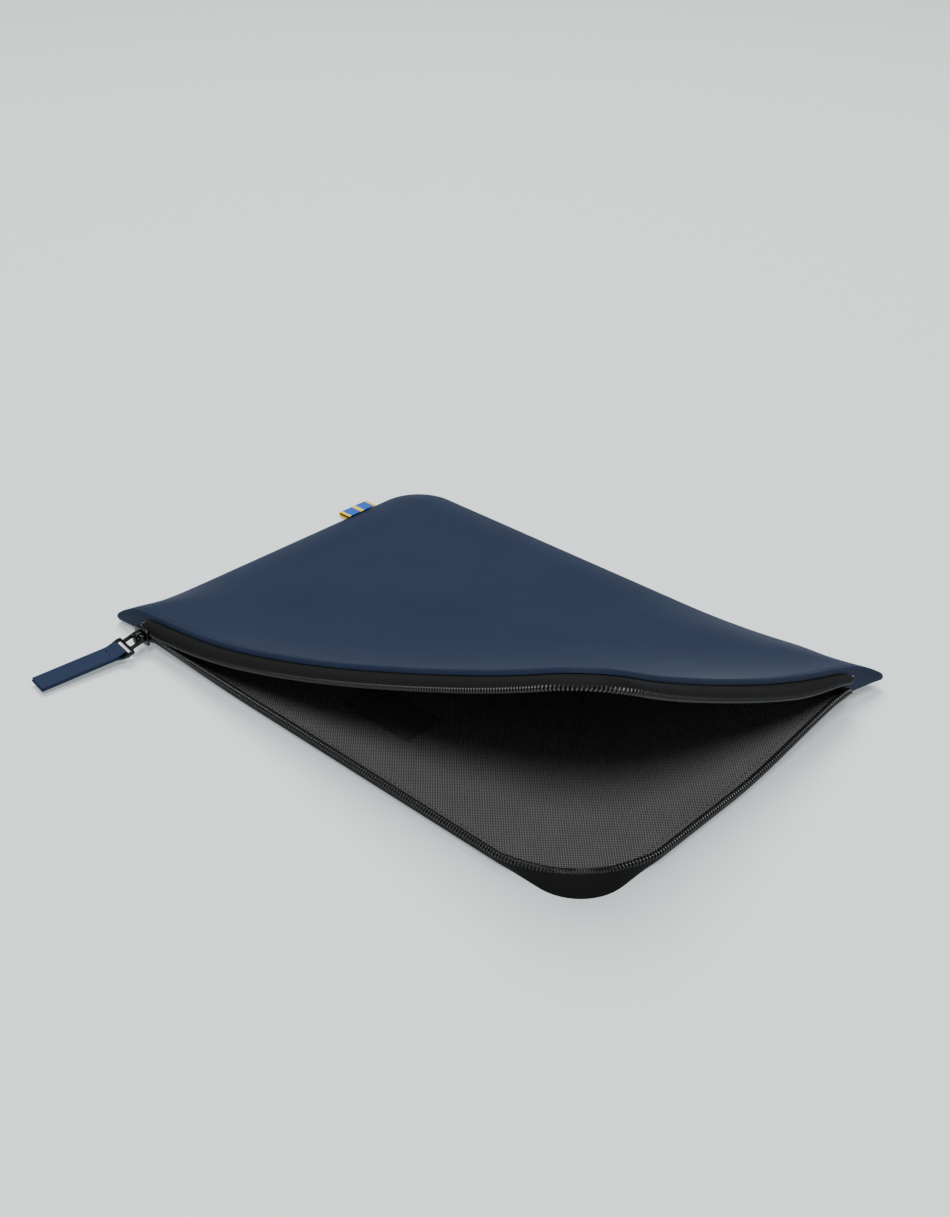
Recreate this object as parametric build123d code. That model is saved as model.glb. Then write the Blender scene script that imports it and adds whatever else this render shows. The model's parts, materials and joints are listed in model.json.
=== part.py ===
"""Laptop sleeve: a padded envelope whose top panel opens on two zipped sides.

Millimetres, +Z up. The origin is the middle of the bottom face, X runs along the long sides and
Y along the short ones. The zip runs along the -Y side, round the (+X, -Y) corner and along the
+X side. The -X and +Y sides are closed. The flexible top panel is cut into four flat facets that
meet at fold lines, and it stands open: each facet is made level, as when zipped, then folded up.
"""
import os
from math import atan2, cos, degrees, radians, sin

from build123d import *

# --- overall sizes ---
LENGTH = 345.0  # panels, along X
WIDTH = 238.0  # panels, along Y
CLOSED_HEIGHT = 20.0  # from bottom face to top face at the zipped sides
BACK_CORNER_HEIGHT = 8.0  # the same, at the closed corner

# --- panels ---
FRONT_CORNER_R = 26.0  # the corner that the zip goes round
BACK_CORNER_R = 28.0  # the closed corner
ZIP_END_CORNER_R = 3.0
OUTER_T = 0.8  # coated outer fabric
FOAM_T = 2.2
LINING_T = 0.4
EDGE_WALL_T = 3.0  # padded edge between the panels on the closed sides

# --- fold lines of the top panel ---
FOLD_ANGLE = 39.85  # direction of the fold lines, from +X
FOLD_PAST_END = 4.8247  # first fold line, from the panels' corner at the zip's end towards the front corner
MID_FACET = 54.0  # across the fold lines, from the first to the second
FRONT_FACET = 47.0  # from the second to the third
FOLD_GAP = 1.0  # between two facets
FOLD_OPEN = 24.0  # degrees, open rest pose
CURL_OPEN = 14.0

# --- zip ---
TAPE_T = 0.6
TAPE_REACH = 5.0  # coil line, outboard of the panels' edge
COIL_R = 1.2
COIL_SPACING = 4.0  # between the two coils' centres when zipped
TAPE_UPRIGHT = 2.0  # straight stretch of tape next to the coil
TAPE_EDGE_Z = 1.7  # where the tape is sewn to the panel's edge
ZIP_END_INSET = 8.0  # tape ends, from the panels' corners
STOP_LENGTH = 2.4
STOP_T = 3.0

# --- slider ---
SLIDER_PARK = -138.0  # slider's middle when the sleeve is open
SLIDER_LENGTH = 12.0
PLATE_T = 1.2
COIL_CLEARANCE = 0.4
FLANGE = 1.0
TAPE_SLOT = 1.3
WEDGE_LENGTH = 4.0
WEDGE_INSET = 0.5  # from the plates' end
PLATE_CORNER_R = 1.5
BRIDGE_CORNER_R = 1.0
BRIDGE_WIDTH = 4.0
BRIDGE_T = 1.2
BRIDGE_GAP = 3.4  # depth of the hole for the link's bar
BRIDGE_OPENING = 4.4

# --- pull link and strap ---
LINK_T = 1.6
WINDOW_WIDTH = 7.4
WINDOW_LENGTH = 6.4
LINK_RIM = 1.7
SLOT_CLEARANCE = 0.8  # each side of the strap
SLOT_LENGTH = 2.8
STRAP_WIDTH = 13.0
STRAP_LENGTH = 48.0
STRAP_LAYER = 1.1
STRAP_EYE_CLEARANCE = 0.35
LINK_DROOP = 18.0  # degrees below level, where it hangs from the bridge
STRAP_DROOP = 3.0  # degrees below level, lying out to the side
PULL_TURN = -8.0  # link and strap, in plan
RIVET_R = 0.7
RIVET_AT = 6.5
RIVET_SPACING = 5.0
RIVET_HEAD = 0.25

# --- label, ribbon loop, corner tabs ---
LABEL_LENGTH = 48.0
LABEL_WIDTH = 25.0
LABEL_T = 0.4
LABEL_X = 7.0
LABEL_FROM_EDGE = 43.5  # label's middle, from the edge of the lower panel
STITCH_T = 0.2
STITCH_WIDTH = 0.5
STITCH_INSET = 1.6
STITCH_LENGTH = 2.4
STITCH_STEP = 3.6
LOOP_WIDTH = 23.0
LOOP_Y = 66.0
LOOP_REACH = 7.0
LOOP_T = 0.7
LOOP_HEIGHT = 3.0
LOOP_FROM_FLOOR = 1.0
TAB_CLEARANCE = 0.4  # to the zip's stop
TAB_REACH = 6.0

# --- derived places ---
LAMINATE = OUTER_T + FOAM_T + LINING_T
HALF_L = LENGTH / 2
HALF_W = WIDTH / 2
MID_Z = CLOSED_HEIGHT / 2
ALONG = Vector(cos(radians(FOLD_ANGLE)), sin(radians(FOLD_ANGLE)), 0)
ACROSS = Vector(sin(radians(FOLD_ANGLE)), -cos(radians(FOLD_ANGLE)), 0)  # towards the front corner
UP = Vector(0, 0, 1)
FAR = 2 * LENGTH
FOLD_AT = Vector(HALF_L, HALF_W, 0).dot(ACROSS) + FOLD_PAST_END  # from the origin
FOLD_BACK_AT = FOLD_AT + MID_FACET
CURL_AT = FOLD_BACK_AT + FRONT_FACET

COIL_Z = MID_Z - COIL_SPACING / 2
COIL_Y = -HALF_W - TAPE_REACH
ZIP_START_X = -HALF_L + ZIP_END_INSET
ZIP_END_Y = HALF_W - ZIP_END_INSET
CORNER_X = HALF_L - FRONT_CORNER_R
CORNER_Y = -HALF_W + FRONT_CORNER_R

PLATE_GAP = 2 * (COIL_R + COIL_CLEARANCE)
SLIDER_HEIGHT = COIL_SPACING + 2 * (COIL_R + COIL_CLEARANCE + FLANGE)
PLATE_FACE_Y = COIL_Y - PLATE_GAP / 2 - PLATE_T
LINK_BAR_Y = PLATE_FACE_Y - BRIDGE_GAP / 2
SLOT_WIDTH = STRAP_WIDTH + 2 * SLOT_CLEARANCE
STRAP_BAR_Y = LINK_BAR_Y - LINK_T / 2 - WINDOW_LENGTH - LINK_T - SLOT_LENGTH - LINK_T / 2
EYE_INNER_R = LINK_T / 2 + STRAP_EYE_CLEARANCE
EYE_OUTER_R = EYE_INNER_R + STRAP_LAYER


LINK_BAR = Vector(SLIDER_PARK, LINK_BAR_Y, MID_Z)


def hung(shape):
    """Lets the pull hang: made level and straight out, then drooped and turned about the link's bar."""
    drooped = shape.rotate(Axis(LINK_BAR, (1, 0, 0)), LINK_DROOP)
    return drooped.rotate(Axis(LINK_BAR, UP), PULL_TURN)


def fold_axis(distance):
    """A fold line of the closed, level top face. Turning about it lifts the side with the front corner."""
    return Axis(ACROSS * distance + UP * CLOSED_HEIGHT, ALONG * -1)


def across(distance):
    """Plane whose X axis is the fold direction, at this distance from the origin."""
    return Plane(origin=ACROSS * distance, x_dir=ALONG, z_dir=UP)


def strip(start, end):
    """Tall block that holds everything between two distances across the fold lines."""
    return across((start + end) / 2) * Box(FAR, end - start, FAR)


HALF_GAP = FOLD_GAP / 2
STRIPS = {
    "rear": (-FAR / 2, FOLD_AT - HALF_GAP),
    "mid": (FOLD_AT + HALF_GAP, FOLD_BACK_AT - HALF_GAP),
    "front": (FOLD_BACK_AT + HALF_GAP, CURL_AT - HALF_GAP),
    "tip": (CURL_AT + HALF_GAP, FAR / 2),
}


def opened(shape, facet):
    """Folds a facet's pieces up from the closed pose to the open one."""
    if facet == "tip":
        shape = shape.rotate(fold_axis(CURL_AT), CURL_OPEN)
    if facet in ("mid", "front", "tip"):
        shape = shape.rotate(fold_axis(FOLD_AT), FOLD_OPEN)
    return shape


def outline(inset=0.0):
    """Plan of the panels, with two large corners and two tight ones where the zip ends."""
    face = Rectangle(LENGTH - 2 * inset, WIDTH - 2 * inset)
    corners = (
        (1, -1, FRONT_CORNER_R),
        (-1, 1, BACK_CORNER_R),
        (1, 1, ZIP_END_CORNER_R),
        (-1, -1, ZIP_END_CORNER_R),
    )
    for side_x, side_y, radius in corners:
        corner = Vector(side_x * (HALF_L - inset), side_y * (HALF_W - inset), 0)
        vertex = face.vertices().sort_by(lambda v: (v.center() - corner).length)[0]
        face = fillet(vertex, max(radius - inset, 0.5))
    return face


def sheet(bottom, thickness, inset=0.0):
    """Flat layer in the shape of the panels."""
    return Pos(0, 0, bottom) * extrude(outline(inset), thickness)


def along_zip(profile):
    """Carries a closed profile of (outboard of the edge, height) points along both zipped sides."""
    side = Plane(origin=(ZIP_START_X, -HALF_W, 0), x_dir=(0, -1, 0), z_dir=(-1, 0, 0))
    long_side = extrude(side * profile, -(CORNER_X - ZIP_START_X))
    turn = Plane(origin=(CORNER_X, -HALF_W, 0), x_dir=(0, -1, 0), z_dir=(-1, 0, 0))
    corner = revolve(turn * profile, Axis((CORNER_X, CORNER_Y, 0), (0, 0, 1)), 90)
    end = Plane(origin=(HALF_L, CORNER_Y, 0), x_dir=(1, 0, 0), z_dir=(0, -1, 0))
    short_side = extrude(end * profile, -(ZIP_END_Y - CORNER_Y))
    return long_side + corner + short_side


def tape_profile():
    """Section of the lower tape: sewn to the panel's edge, then outward and up to its coil."""
    bend_z = COIL_Z - COIL_R - TAPE_UPRIGHT
    half = TAPE_T / 2
    points = (
        (0, TAPE_EDGE_Z - half),
        (TAPE_REACH + half, bend_z - half),
        (TAPE_REACH + half, bend_z + TAPE_UPRIGHT),
        (TAPE_REACH - half, bend_z + TAPE_UPRIGHT),
        (TAPE_REACH - half, bend_z + half),
        (0, TAPE_EDGE_Z + half),
    )
    return make_face(Polyline(*points, close=True))


def upside_down(profile):
    """The upper half of the zip mirrors the lower half."""
    return Pos(0, CLOSED_HEIGHT, 0) * mirror(profile, Plane.XZ)


def coil_profile():
    return Pos(TAPE_REACH, COIL_Z, 0) * Circle(COIL_R)


def bottom_shell():
    return {
        "bottom_outer_panel": sheet(0, OUTER_T),
        "bottom_foam": sheet(OUTER_T, FOAM_T),
        "bottom_lining": sheet(OUTER_T + FOAM_T, LINING_T),
    }


def back_corner_distance():
    """How far the closed corner lies behind the first fold line."""
    return FOLD_AT - Vector(-HALF_L, HALF_W, 0).dot(ACROSS)


REAR_SLOPE = degrees(atan2(CLOSED_HEIGHT - BACK_CORNER_HEIGHT, back_corner_distance()))


def settled(shape):
    """Tilts a level piece of the rear facet down towards the closed corner, within the panels' plan."""
    return shape.rotate(fold_axis(FOLD_AT), REAR_SLOPE) & extrude(outline(), CLOSED_HEIGHT)


def top_shell():
    layers = {
        "top_outer": sheet(CLOSED_HEIGHT - OUTER_T, OUTER_T),
        "top_foam": sheet(CLOSED_HEIGHT - OUTER_T - FOAM_T, FOAM_T),
        "top_lining": sheet(CLOSED_HEIGHT - LAMINATE, LINING_T),
    }
    parts = {}
    for layer, level in layers.items():
        for facet, (start, end) in STRIPS.items():
            piece = level & strip(start, end)
            parts[f"{layer}_{facet}"] = settled(piece) if facet == "rear" else opened(piece, facet)
    return parts


def edge_walls():
    """Padded edge that joins the two panels along the closed sides."""
    ring = extrude(outline() - outline(EDGE_WALL_T), CLOSED_HEIGHT - LAMINATE)
    ring = Pos(0, 0, LAMINATE) * ring
    cover = settled(Pos(0, 0, CLOSED_HEIGHT - LAMINATE) * extrude(Rectangle(FAR, FAR), FAR))
    ring -= cover
    side_y = HALF_W - BACK_CORNER_R
    side_x = -HALF_L + BACK_CORNER_R
    left = Pos(-HALF_L, (side_y - HALF_W) / 2, 0) * Box(2 * EDGE_WALL_T, side_y + HALF_W, FAR)
    back = Pos((side_x + HALF_L) / 2, HALF_W, 0) * Box(HALF_L - side_x, 2 * EDGE_WALL_T, FAR)
    corner = Pos(side_x, side_y, 0) * Box(FAR, FAR, FAR, align=(Align.MAX, Align.MIN, Align.CENTER))
    return {
        "left_edge_wall": ring & left,
        "back_edge_wall": ring & back,
        "corner_edge_wall": ring & corner,
    }


def zip_parts():
    lower_tape = along_zip(tape_profile())
    lower_coil = along_zip(coil_profile())
    upper_tape = along_zip(upside_down(tape_profile()))
    upper_coil = along_zip(upside_down(coil_profile()))
    parts = {"lower_zip_tape": lower_tape, "lower_zip_coil": lower_coil}
    for facet, (start, end) in STRIPS.items():
        parts[f"upper_zip_tape_{facet}"] = opened(upper_tape & strip(start, end), facet)
        parts[f"upper_zip_coil_{facet}"] = opened(upper_coil & strip(start, end), facet)
    return parts


def zip_stops():
    """Clamps that close the two ends of the coils."""
    height = COIL_SPACING + 2 * COIL_R
    start_x = ZIP_START_X - STOP_LENGTH / 2
    end_y = ZIP_END_Y + STOP_LENGTH / 2
    return {
        "zip_start_stop": Pos(start_x, COIL_Y, MID_Z) * Box(STOP_LENGTH, STOP_T, height),
        "zip_end_stop": Pos(HALF_L + TAPE_REACH, end_y, MID_Z) * Box(STOP_T, STOP_LENGTH, height),
    }


def corner_tab(to_world):
    """Pointed ear that covers a zip end, drawn with its point at the panels' corner."""
    length = ZIP_END_INSET - STOP_LENGTH - TAB_CLEARANCE
    plan = Polyline((0, 0), (length, 0), (length, -TAB_REACH), close=True)
    height = CLOSED_HEIGHT - 2 * LAMINATE
    return Pos(0, 0, LAMINATE) * extrude(to_world * make_face(plan), height)


def corner_tabs():
    left = Plane(origin=(-HALF_L, -HALF_W, 0), x_dir=(1, 0, 0), z_dir=(0, 0, 1))
    right = Plane(origin=(HALF_L, HALF_W, 0), x_dir=(0, -1, 0), z_dir=(0, 0, -1))
    right_tab = Pos(0, 0, CLOSED_HEIGHT) * corner_tab(right)
    return {"left_corner_tab": corner_tab(left), "right_corner_tab": right_tab}


def slider():
    """Two plates round both coils, a wedge that parts them, and a bridge for the pull link."""
    middle = Pos(SLIDER_PARK, COIL_Y, MID_Z)
    plate = Box(SLIDER_LENGTH, PLATE_T, SLIDER_HEIGHT)
    plate = fillet(plate.edges().filter_by(Axis.Y), PLATE_CORNER_R)
    plate_offset = (PLATE_GAP + PLATE_T) / 2
    flange_depth = (PLATE_GAP - TAPE_SLOT) / 2
    flange = Box(SLIDER_LENGTH - 2 * PLATE_CORNER_R, flange_depth, FLANGE)
    body = Pos(0, plate_offset, 0) * plate + Pos(0, -plate_offset, 0) * plate
    for side_y in (-1, 1):
        for side_z in (-1, 1):
            y = side_y * (PLATE_GAP - flange_depth) / 2
            body += Pos(0, y, side_z * (SLIDER_HEIGHT - FLANGE) / 2) * flange
    wedge_t = COIL_SPACING - 2 * COIL_R - COIL_CLEARANCE
    wedge_x = (SLIDER_LENGTH - WEDGE_LENGTH) / 2 - WEDGE_INSET
    body += Pos(wedge_x, 0, 0) * Box(WEDGE_LENGTH, PLATE_GAP, wedge_t)

    depth = BRIDGE_GAP + BRIDGE_T
    arch = Box(BRIDGE_WIDTH, depth, BRIDGE_OPENING + 2 * BRIDGE_T)
    outer_edges = arch.edges().filter_by(Axis.X).group_by(Axis.Y)[0]
    arch = fillet(outer_edges, BRIDGE_CORNER_R)
    arch -= Pos(0, BRIDGE_T / 2, 0) * Box(FAR, BRIDGE_GAP, BRIDGE_OPENING)
    bridge = Pos(SLIDER_PARK, PLATE_FACE_Y - depth / 2, MID_Z) * arch
    return {"slider_body": middle * body, "slider_bridge": bridge}


def pull_link():
    """Flat ring: a bar through the bridge, a window, a cross bar, and a wider slot for the strap."""
    top = LINK_BAR_Y
    window = (top - LINK_T / 2, top - LINK_T / 2 - WINDOW_LENGTH)
    slot = (window[1] - LINK_T, window[1] - LINK_T - SLOT_LENGTH)
    narrow = WINDOW_WIDTH + 2 * LINK_RIM
    wide = SLOT_WIDTH + 2 * LINK_RIM
    plan = Pos(0, (top + slot[0]) / 2) * Rectangle(narrow, top - slot[0] + LINK_T)
    slot_middle = (slot[0] + slot[1]) / 2
    plan += Pos(0, slot_middle) * RectangleRounded(wide, SLOT_LENGTH + 2 * LINK_T, LINK_RIM)
    plan -= Pos(0, (window[0] + window[1]) / 2) * Rectangle(WINDOW_WIDTH, WINDOW_LENGTH)
    plan -= Pos(0, slot_middle) * Rectangle(SLOT_WIDTH, SLOT_LENGTH)
    plate = Pos(SLIDER_PARK, 0, MID_Z - LINK_T / 2) * extrude(plan, LINK_T)
    bar_edges = [e for e in plate.edges().filter_by(Axis.X) if e.center().Y > window[0] - 0.01]
    return {"pull_link": hung(fillet(bar_edges, LINK_T * 0.3))}


def pull_strap():
    """Strip folded round the link's outer bar and joined to itself by two rivets."""
    eye = Circle(EYE_OUTER_R)
    tail = Pos(-STRAP_LENGTH / 2, 0) * Rectangle(STRAP_LENGTH, 2 * STRAP_LAYER)
    section = eye + tail - Rectangle(LINK_T + 2 * STRAP_EYE_CLEARANCE, LINK_T + 2 * STRAP_EYE_CLEARANCE)
    side = Plane(origin=(SLIDER_PARK, STRAP_BAR_Y, MID_Z), x_dir=(0, 1, 0), z_dir=(1, 0, 0))
    strap = extrude(side * section, STRAP_WIDTH / 2, both=True)
    rivets = []
    for side_x in (-1, 1):
        at = Pos(SLIDER_PARK + side_x * RIVET_SPACING / 2, STRAP_BAR_Y - RIVET_AT, MID_Z)
        strap -= at * Cylinder(RIVET_R, 4 * STRAP_LAYER)
        rivets.append(at * Cylinder(RIVET_R, 2 * (STRAP_LAYER + RIVET_HEAD)))
    bar = Axis((SLIDER_PARK, STRAP_BAR_Y, MID_Z), (1, 0, 0))
    lift = STRAP_DROOP - LINK_DROOP
    return {
        "pull_strap": hung(strap.rotate(bar, lift)),
        "strap_rivets": hung(Compound(rivets).rotate(bar, lift)),
    }


def label_parts():
    """Blank woven label sewn flat on the lining near the long zipped side."""
    label_y = -HALF_W + LABEL_FROM_EDGE
    label = Pos(LABEL_X, label_y, LAMINATE + LABEL_T / 2) * Box(LABEL_LENGTH, LABEL_WIDTH, LABEL_T)
    stitches = []
    for length, width, turn in ((LABEL_LENGTH, LABEL_WIDTH, 0), (LABEL_WIDTH, LABEL_LENGTH, 90)):
        count = int((length - 4 * STITCH_INSET) // STITCH_STEP)
        for side in (-1, 1):
            for i in range(count):
                x = (i - (count - 1) / 2) * STITCH_STEP
                at = Pos(x, side * (width / 2 - STITCH_INSET))
                stitches.append(Rot(0, 0, turn) * at * Box(STITCH_LENGTH, STITCH_WIDTH, STITCH_T))
    top = LAMINATE + LABEL_T + STITCH_T / 2
    return {"inner_label": label, "label_stitching": Pos(LABEL_X, label_y, top) * Compound(stitches)}


def ribbon_loop():
    """Ribbon folded in two and sewn into the left closed edge."""
    middle_z = LOOP_FROM_FLOOR + LOOP_HEIGHT / 2
    outer = Pos(-LOOP_REACH / 2, 0) * Rectangle(LOOP_REACH, LOOP_HEIGHT)
    outer = fillet(outer.vertices().group_by(Axis.X)[0], LOOP_HEIGHT / 2 - 0.01)
    inner_h = LOOP_HEIGHT - 2 * LOOP_T
    inner = Pos(-(LOOP_REACH - LOOP_T) / 2, 0) * Rectangle(LOOP_REACH - LOOP_T, inner_h)
    inner = fillet(inner.vertices().group_by(Axis.X)[0], inner_h / 2 - 0.01)
    side = Plane(origin=(-HALF_L, LOOP_Y, middle_z), x_dir=(1, 0, 0), z_dir=(0, -1, 0))
    return {"ribbon_loop": extrude(side * (outer - inner), LOOP_WIDTH / 2, both=True)}


def main():
    nodes = {}
    for group in (
        bottom_shell, top_shell, edge_walls, zip_parts, zip_stops, corner_tabs,
        slider, pull_link, pull_strap, label_parts, ribbon_loop,
    ):
        nodes.update(group())
    os.makedirs("parts", exist_ok=True)
    for name, shape in nodes.items():
        export_step(shape, f"parts/{name}.step")
    return nodes


main()
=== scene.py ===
# %% [markdown]
# # A padded laptop sleeve
# The sleeve is two padded panels in matte navy fabric, joined along two closed edges and by a
# zip along the other two. It lies open: the top panel is peeled up at the front corner.
# The imported model gives the panels' size, the fold lines and the slider's place. Everything
# soft is made again here from a few sizes. The soft pieces of the lower panel and the strap ride
# on the bodies of that model; those of the top panel and the right ear are not tied to a body.
# %% Load the frame
import json
from math import cos, hypot, pi, radians, sin, sqrt

import bmesh
import bpy
import numpy as np
from mathutils import Matrix, Vector


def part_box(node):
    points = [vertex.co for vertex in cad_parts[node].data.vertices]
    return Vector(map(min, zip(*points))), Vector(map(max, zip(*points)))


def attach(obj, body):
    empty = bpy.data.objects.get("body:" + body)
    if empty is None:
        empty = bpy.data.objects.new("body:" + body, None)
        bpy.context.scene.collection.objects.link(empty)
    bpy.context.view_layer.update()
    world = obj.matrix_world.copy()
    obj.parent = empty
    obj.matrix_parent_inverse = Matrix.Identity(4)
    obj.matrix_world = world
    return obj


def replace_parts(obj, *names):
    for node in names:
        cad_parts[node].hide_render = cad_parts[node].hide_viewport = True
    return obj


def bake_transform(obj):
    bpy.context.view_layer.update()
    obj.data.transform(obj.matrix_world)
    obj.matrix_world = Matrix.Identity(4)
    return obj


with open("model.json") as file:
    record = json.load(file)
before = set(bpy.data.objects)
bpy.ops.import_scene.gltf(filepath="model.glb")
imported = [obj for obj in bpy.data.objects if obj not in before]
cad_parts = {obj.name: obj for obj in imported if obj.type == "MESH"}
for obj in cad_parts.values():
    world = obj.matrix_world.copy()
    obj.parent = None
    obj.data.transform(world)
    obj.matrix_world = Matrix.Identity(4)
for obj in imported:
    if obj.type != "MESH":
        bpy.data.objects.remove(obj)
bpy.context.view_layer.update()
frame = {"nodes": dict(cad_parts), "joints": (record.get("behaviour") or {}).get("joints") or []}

MM = 0.001

# %% [markdown]
# ## Places from the frame
# The panels' outline comes from the bottom panel's box, and the three fold lines from the
# joints. Distances across the folds are measured on the flat panel, so the second and third
# fold add up along the panel from the first.
# %% Read the places
panel_high = Vector(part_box("bottom_outer_panel")[1])
HALF_L, HALF_W = panel_high.x, panel_high.y
joints = {joint["name"]: joint for joint in frame["joints"]}
fold_dir = Vector(joints["flap_fold"]["axis"])
ALONG = -fold_dir
ACROSS = Vector((-fold_dir.y, fold_dir.x, 0))
fold_pos = [Vector(joints[name]["pos_m"]) for name in ("flap_fold", "flap_fold_back", "flap_curl")]
FOLD_AT = fold_pos[0].dot(ACROSS)
FOLD_BACK_AT = FOLD_AT + (fold_pos[1] - fold_pos[0]).length
CURL_AT = FOLD_AT + (fold_pos[2] - fold_pos[0]).length
slider_low, slider_high = (Vector(corner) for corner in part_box("slider_body"))
SLIDER = (slider_low + slider_high) / 2
print("panel", 2 * HALF_L, "x", 2 * HALF_W, "folds at", FOLD_AT, FOLD_BACK_AT, CURL_AT)

FRONT_R, BACK_R, END_R = 26 * MM, 28 * MM, 5 * MM  # corners in plan
CORNERS = ((1, -1, FRONT_R), (-1, 1, BACK_R), (1, 1, END_R), (-1, -1, END_R))
SHELL_T = 2.8 * MM  # outer fabric on foam
LINING_T = 0.5 * MM
HAIR = 0.02 * MM  # gap between the lining and the foam behind it
COIL_R = 1.3 * MM
COIL_OUT = -HALF_W - SLIDER.y  # both coils run through the slider, this far outside the panels
COIL_Z = 8 * MM  # height of the lower tape's free edge above the floor
DROP = 9 * MM  # the upper tape's free edge hangs this far below the top face

# %% [markdown]
# ## The lifted panel's shape
# A padded panel can bend but hardly stretch, so when a corner is peeled up it bends like a
# sheet of card: its height depends only on the distance across the fold lines. A few slopes
# at a few distances say how it bends, and adding them up gives the height and the shortening.
# %% The bend
# pairs of a distance across the folds in mm and the slope there in degrees
BEND = ((-60, 0.0), (-20, 10.0), (20, 11.6), (60, 24.2), (110, 31.1), (160, 35.4), (205, 44.8))
FLAT_Z = 12.0 * MM  # top face where the panel lies flat
EDGE_Z = 1.5 * MM  # top face at the closed edges, where both panels are pressed thin
EDGE_ROLL = 46 * MM  # the panel rises over this distance from a closed edge
END_ROLL = 25 * MM  # and over this one next to the zip's ends
EAR_DIP = 4.5 * MM  # the pointed corner at the zip's far end hangs by this much
EAR_DIP_REACH = 50 * MM
EARS = (((-1, -1), 2.5 * MM), ((1, 1), 6.5 * MM))  # how far each pointed corner is drawn out
EAR_REACH = 26 * MM
PRESSED = 0.26  # share of a panel's thickness that is left at the closed edges
PRESSED_REACH = 15 * MM
ZIP_REACH = 70 * MM  # the roll changes over this distance from the zip
FARTHEST = 300  # mm across the folds, past every corner

steps = np.arange(-FARTHEST, FARTHEST + 1) * MM
slopes = np.radians(np.interp(steps / MM, [d for d, a in BEND], [a for d, a in BEND]))
heights = np.concatenate(([0], np.cumsum(np.sin((slopes[1:] + slopes[:-1]) / 2)))) * MM
runs = np.concatenate(([0], np.cumsum(np.cos((slopes[1:] + slopes[:-1]) / 2)))) * MM + steps[0]


def bend(distance):
    """Slope, height and place across the folds of a flat point."""
    slope = np.interp(distance, steps, slopes)
    return slope, np.interp(distance, steps, heights), np.interp(distance, steps, runs)


def smooth(value, start, end):
    """0 at the start, 1 at the end, and an even curve without a kink between them."""
    t = min(max((value - start) / (end - start), 0.0), 1.0)
    return t * t * (3 - 2 * t)


def edge_distance(x, y, closed_only=False):
    """How far a flat point lies inside the outline, or inside its closed sides alone."""
    sides = [x + HALF_L, HALF_W - y]
    if not closed_only:
        sides += [HALF_L - x, y + HALF_W]
    nearest = min(sides)
    for side_x, side_y, radius in CORNERS:
        u, v = side_x * x - (HALF_L - radius), side_y * y - (HALF_W - radius)
        if u > 0 and v > 0 and (not closed_only or (side_x, side_y) == (-1, 1)):
            nearest = min(nearest, radius - hypot(u, v))
    return max(nearest, 0.0)


def crown(x, y):
    """Height of the flat panel's top face: low at the closed edges, level further in."""
    from_zip = min(y + HALF_W, HALF_L - x)
    roll = END_ROLL + (EDGE_ROLL - END_ROLL) * smooth(from_zip, 0, ZIP_REACH)
    t = min(edge_distance(x, y, closed_only=True) / roll, 1.0)
    return EDGE_Z + (FLAT_Z - EDGE_Z) * (1 - (1 - t) ** 2) - ear_dip(x, y)


def ear_dip(x, y):
    return EAR_DIP * (1 - smooth(hypot(HALF_L - x, HALF_W - y), 0, EAR_DIP_REACH))


def drawn_out(x, y):
    """The pointed corners next to the zip's ends are drawn outwards by their sewn edges."""
    shift = Vector((0, 0, 0))
    for (side_x, side_y), amount in EARS:
        near = max(1 - hypot(x - side_x * HALF_L, y - side_y * HALF_W) / EAR_REACH, 0)
        shift += Vector((side_x, side_y, 0)).normalized() * amount * near**1.5
    return shift


def pressed(x, y):
    """Share of the full thickness: the panels thin out to a flat sewn edge."""
    inside = edge_distance(x, y, closed_only=True)
    return PRESSED + (1 - PRESSED) * smooth(inside, 0, PRESSED_REACH)


def lifted(x, y, h):
    """Place in the open sleeve of a flat point of the top panel, h above its top face."""
    slope, rise, run = bend(x * ACROSS.x + y * ACROSS.y)
    base = ALONG * (x * ALONG.x + y * ALONG.y) + ACROSS * (run - h * sin(slope))
    return base + drawn_out(x, y) + Vector((0, 0, rise + crown(x, y) + h * cos(slope)))


FAR_RISE = (-15 * MM, 95 * MM)  # along the short side, where the lower panel leaves the floor
NEAR_RISE = (125 * MM, 60 * MM)  # how far the rise next to the slider goes along and inwards


def bottom_rise(x, y):
    """The lower panel is pulled up a little with the upper one at both zip ends."""
    distance = x * ACROSS.x + y * ACROSS.y
    far_end = smooth(y, *FAR_RISE) * bend(min(distance, FOLD_AT))[1] - ear_dip(x, y)
    return max(far_end, near_rise(x, y), 0)


def near_rise(x, y):
    """The part of that rise that is next to the slider."""
    along = max(1 - (x + HALF_L) / NEAR_RISE[0], 0) ** 2.5
    return bend(x * ACROSS.x + y * ACROSS.y)[1] * along * (1 - smooth(y + HALF_W, 0, NEAR_RISE[1]))


def laid(x, y, z):
    """Place of a point of the bottom panel, z above its bottom face."""
    return Vector((x, y, z + bottom_rise(x, y))) + drawn_out(x, y)


corner_height = lifted(HALF_L - FRONT_R / 2, -HALF_W + FRONT_R / 2, 0).z
print("lifted corner stands", round(corner_height / MM, 1), "mm above the floor")

# %% [markdown]
# ## Small tools
# Each soft piece starts as a bmesh grid in its own flat coordinates, keeps those as its UV map
# so that weaves follow the cloth, gets a thickness by extruding the whole region, and only
# then moves to its place in the open sleeve. Modifiers could bend it too, but then the pattern
# pieces of the panel, the tapes and the stitches would each need the same stack of them.
# %% From bmesh to piece
def make_piece(name, bm, material, body=None):
    """Turns a bmesh into an object at the origin, and lets it ride on a body."""
    bmesh.ops.recalc_face_normals(bm, faces=bm.faces)
    mesh = bpy.data.meshes.new(name)
    bm.to_mesh(mesh)
    bm.free()
    mesh.materials.append(material)
    for polygon in mesh.polygons:
        polygon.use_smooth = True
    mesh.set_sharp_from_angle(angle=radians(50))
    obj = bpy.data.objects.new(name, mesh)
    bpy.context.collection.objects.link(obj)
    if body:
        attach(obj, body)
    return obj


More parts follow.
